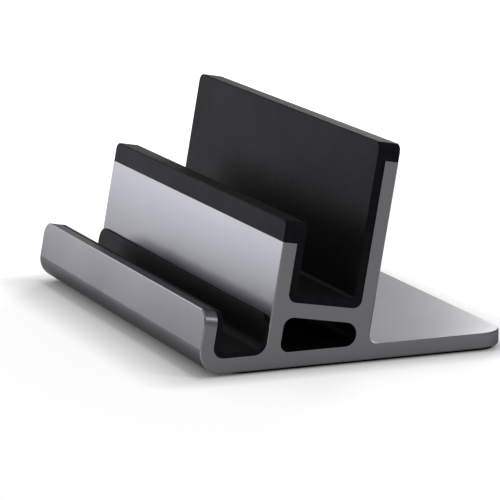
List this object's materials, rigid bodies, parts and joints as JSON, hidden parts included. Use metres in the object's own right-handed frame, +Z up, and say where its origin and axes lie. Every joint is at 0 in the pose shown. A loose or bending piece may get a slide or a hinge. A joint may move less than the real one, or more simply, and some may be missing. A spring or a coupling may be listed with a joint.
{
  "type": "vertical laptop stand",
  "caption": "Low metal desk stand with leaning slots lined in black silicone, which hold a closed laptop and a tablet upright on their edges.",
  "frame": {"origin": "middle of the footprint on the table, under the base pad", "axes": "+X along the slots, +Y from the front lip to the tail of the base, +Z up"},
  "size_m": [0.165, 0.1136, 0.075],
  "materials": {
    "anodised_aluminium": "fine bead-blasted, space grey anodised, bright broken edges",
    "black_silicone": "smooth matte moulded silicone",
    "pad_silicone": "matte silicone sheet"
  },
  "bodies": {
    "root": {"body": "anodised_aluminium", "rear_liner": "black_silicone", "front_liner": "black_silicone", "base_pad": "pad_silicone"}
  },
  "joints": []
}
